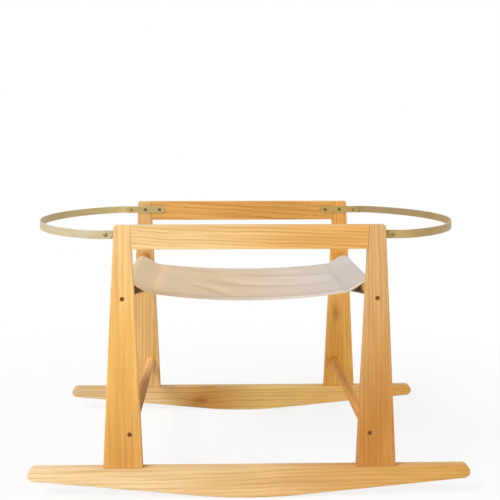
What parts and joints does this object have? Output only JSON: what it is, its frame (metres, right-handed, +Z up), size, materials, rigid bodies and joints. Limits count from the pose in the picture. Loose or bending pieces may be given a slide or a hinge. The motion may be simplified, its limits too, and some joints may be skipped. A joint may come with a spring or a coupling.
{
  "type": "moses basket stand",
  "caption": "Rocking moses basket stand with tapered pine side frames on curved rockers, round cross bars, a canvas sling to carry the basket, and folding strip hoops at the ends.",
  "frame": {"origin": "on the floor, under the middle of the stand, where the rockers touch it at rest", "axes": "+X along the rockers to the right in the picture, +Y across the stand away from the viewer, +Z up"},
  "size_m": [0.8794, 0.46, 0.5179],
  "materials": {
    "pine": "clear honey lacquer, satin",
    "canvas": "plain weave, matt",
    "khaki_strip": "satin khaki paint on flat steel strip",
    "dark_fasteners": "browned steel, satin",
    "zinc_inserts": "zinc plated",
    "beech_pins": "bare wood"
  },
  "bodies": {
    "frame": {"front_left_leg": "pine", "front_right_leg": "pine", "rear_left_leg": "pine", "rear_right_leg": "pine", "front_rail": "pine", "rear_rail": "pine", "front_rocker": "pine", "rear_rocker": "pine", "left_sling_bar": "pine", "right_sling_bar": "pine", "left_stretcher": "pine", "right_stretcher": "pine", "sling": "canvas", "front_left_bracket": "khaki_strip", "front_right_bracket": "khaki_strip", "rear_left_bracket": "khaki_strip", "rear_right_bracket": "khaki_strip", "left_hoop_rivets": "dark_fasteners", "right_hoop_rivets": "dark_fasteners", "front_bracket_screws": "dark_fasteners", "rear_bracket_screws": "dark_fasteners", "front_leg_bolts": "dark_fasteners", "rear_leg_bolts": "dark_fasteners", "front_bar_inserts": "zinc_inserts", "rear_bar_inserts": "zinc_inserts", "front_rail_pins": "beech_pins", "rear_rail_pins": "beech_pins", "front_rocker_pins": "beech_pins", "rear_rocker_pins": "beech_pins"},
    "left_hoop": {"left_hoop": "khaki_strip"},
    "right_hoop": {"right_hoop": "khaki_strip"}
  },
  "joints": [
    {"name": "left_hoop_fold", "type": "hinge", "parent": "frame", "child": "left_hoop", "pos_m": [-0.27279, 0, 0.4985], "axis": [0, -1, 0], "range_deg": [-90, 90]},
    {"name": "right_hoop_fold", "type": "hinge", "parent": "frame", "child": "right_hoop", "pos_m": [0.27279, 0, 0.4985], "axis": [0, 1, 0], "range_deg": [-90, 90]}
  ]
}
